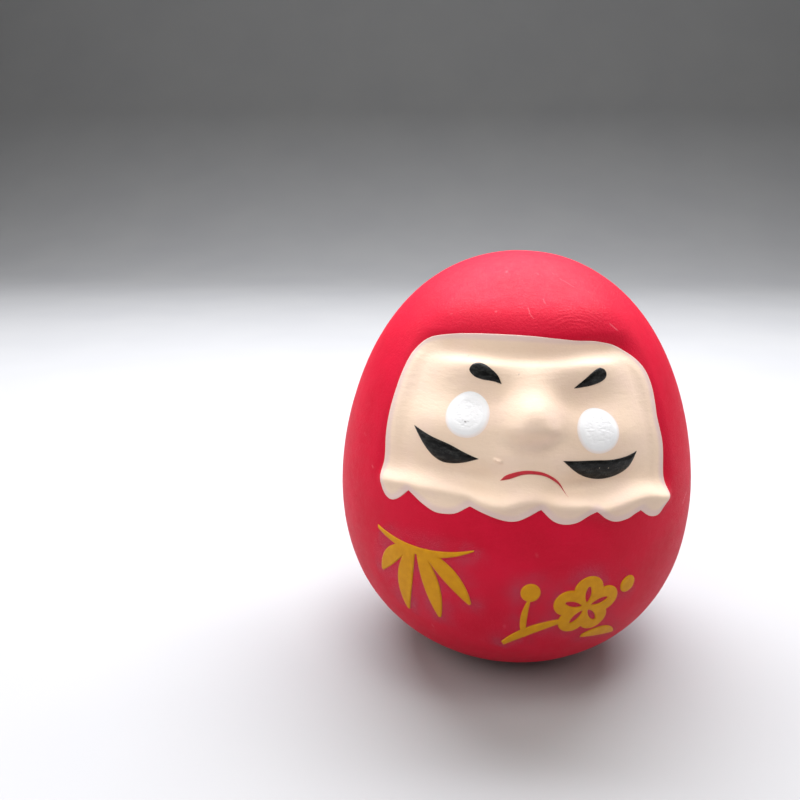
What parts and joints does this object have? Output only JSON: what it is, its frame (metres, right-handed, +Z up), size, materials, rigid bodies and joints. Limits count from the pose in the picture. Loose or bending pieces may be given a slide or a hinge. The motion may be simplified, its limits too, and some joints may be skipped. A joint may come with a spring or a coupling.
{
  "type": "daruma doll",
  "caption": "Egg-shaped hollow papier-mache doll with a weighted flat foot, recessed cream face with a scalloped beard edge, blank white eyes and gold sprigs on its red front.",
  "frame": {"origin": "centre of the flat foot that the doll stands on", "axes": "+Z up through the crown, -Y out of the face, +X towards the doll's own left hand side, which is the viewer's right"},
  "size_m": [0.0518, 0.052, 0.06],
  "materials": {
    "red_paper": "papier-mache under matte red paint with a soft leathery grain",
    "plain_paper": "unpainted layered paper",
    "clay": "dry unglazed clay",
    "cream_paint": "matte chalky paint",
    "white_paint": "thick matte paint, slightly pitted",
    "black_ink": "thick satin brushed paint",
    "red_ink": "thin satin brushed paint",
    "clear_film": "thin clear transfer film with a faint haze",
    "gold_print": "flat ochre-gold print"
  },
  "bodies": {
    "root": {"shell_front": "red_paper", "shell_back": "red_paper", "base_strip": "red_paper", "joint_collar": "plain_paper", "base_weight": "clay", "face_coat": "cream_paint", "eye_left": "white_paint", "eye_right": "white_paint", "brow_left": "black_ink", "brow_right": "black_ink", "moustache_left": "black_ink", "moustache_right": "black_ink", "mouth": "red_ink", "transfer_film": "clear_film", "gold_bamboo": "gold_print", "gold_plum": "gold_print", "gold_bud": "gold_print", "gold_leaf": "gold_print"}
  },
  "joints": []
}
